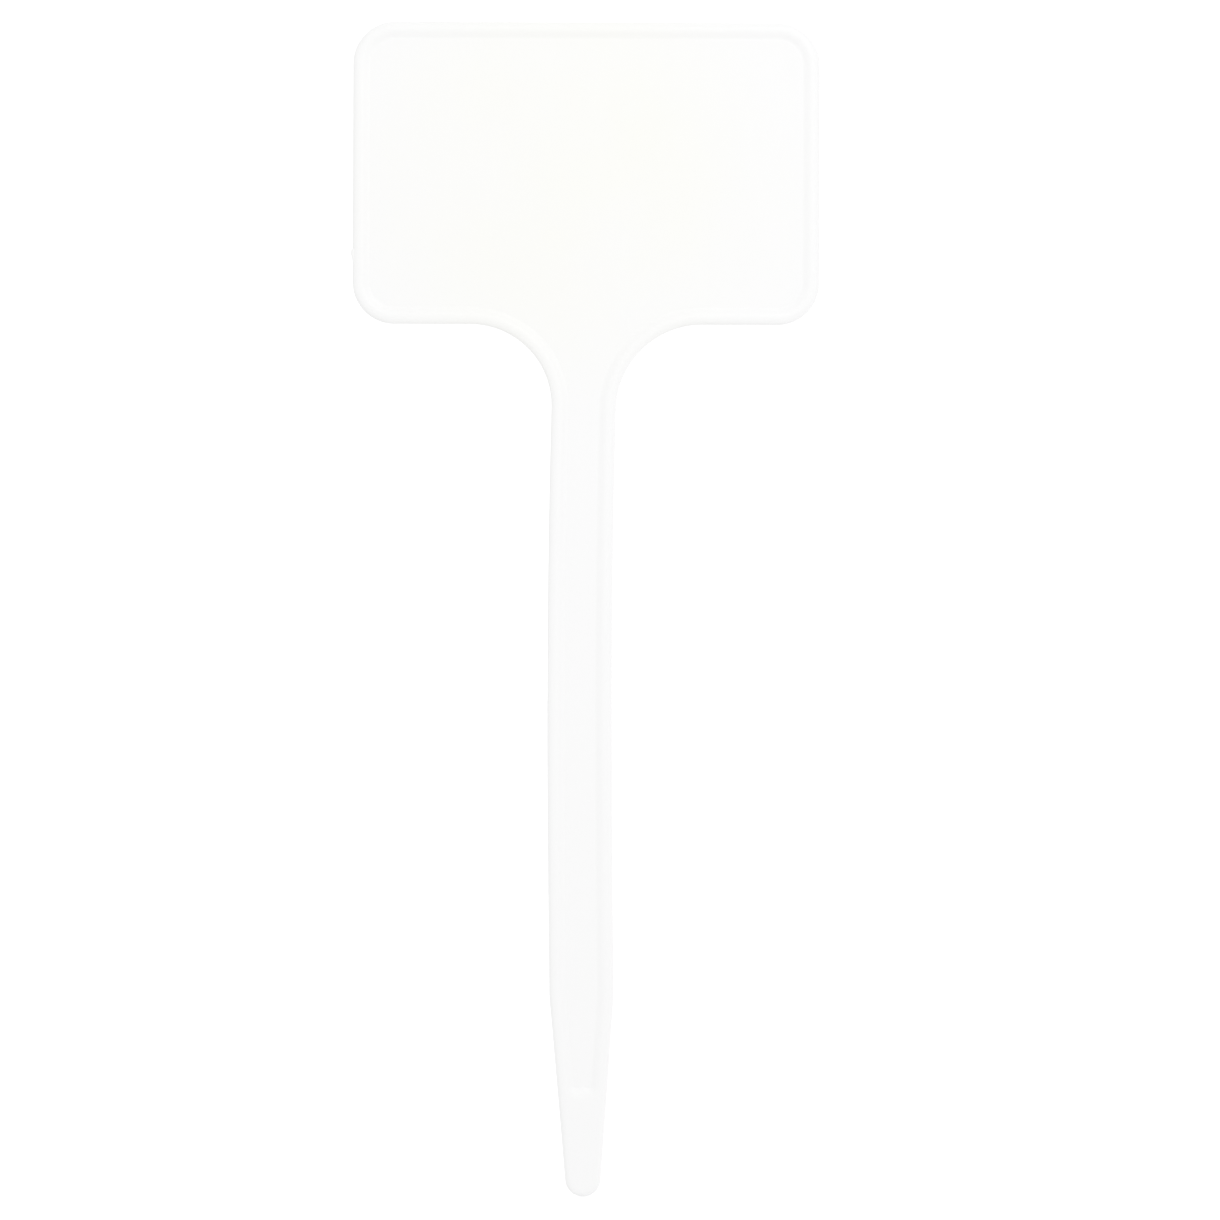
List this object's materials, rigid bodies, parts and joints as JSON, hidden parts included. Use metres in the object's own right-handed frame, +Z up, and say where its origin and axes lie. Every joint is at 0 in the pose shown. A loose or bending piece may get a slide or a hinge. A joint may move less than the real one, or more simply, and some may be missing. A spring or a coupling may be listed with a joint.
{
  "type": "plant label stake",
  "caption": "Flat T-shaped plant label: a writing panel with rounded corners and a raised rim, flared into a ribbed stem that ends in a tapered, round-nosed spike.",
  "frame": {"origin": "lowest point of the spike's round end, in the middle of the label's width and thickness", "axes": "+Z up along the stem to the panel, +X across the panel to the right of someone reading its front, front face towards -Y"},
  "size_m": [0.1004, 0.0024, 0.2518],
  "materials": {
    "writing_surface": "white polypropylene, finely eroded mould face that takes pencil and marker",
    "satin_moulding": "white polypropylene, plain satin mould face"
  },
  "bodies": {
    "root": {"writing_panel": "writing_surface", "panel_rim": "satin_moulding", "neck": "writing_surface", "stem": "writing_surface", "left_rib": "satin_moulding", "right_rib": "satin_moulding", "spike": "satin_moulding"}
  },
  "joints": []
}
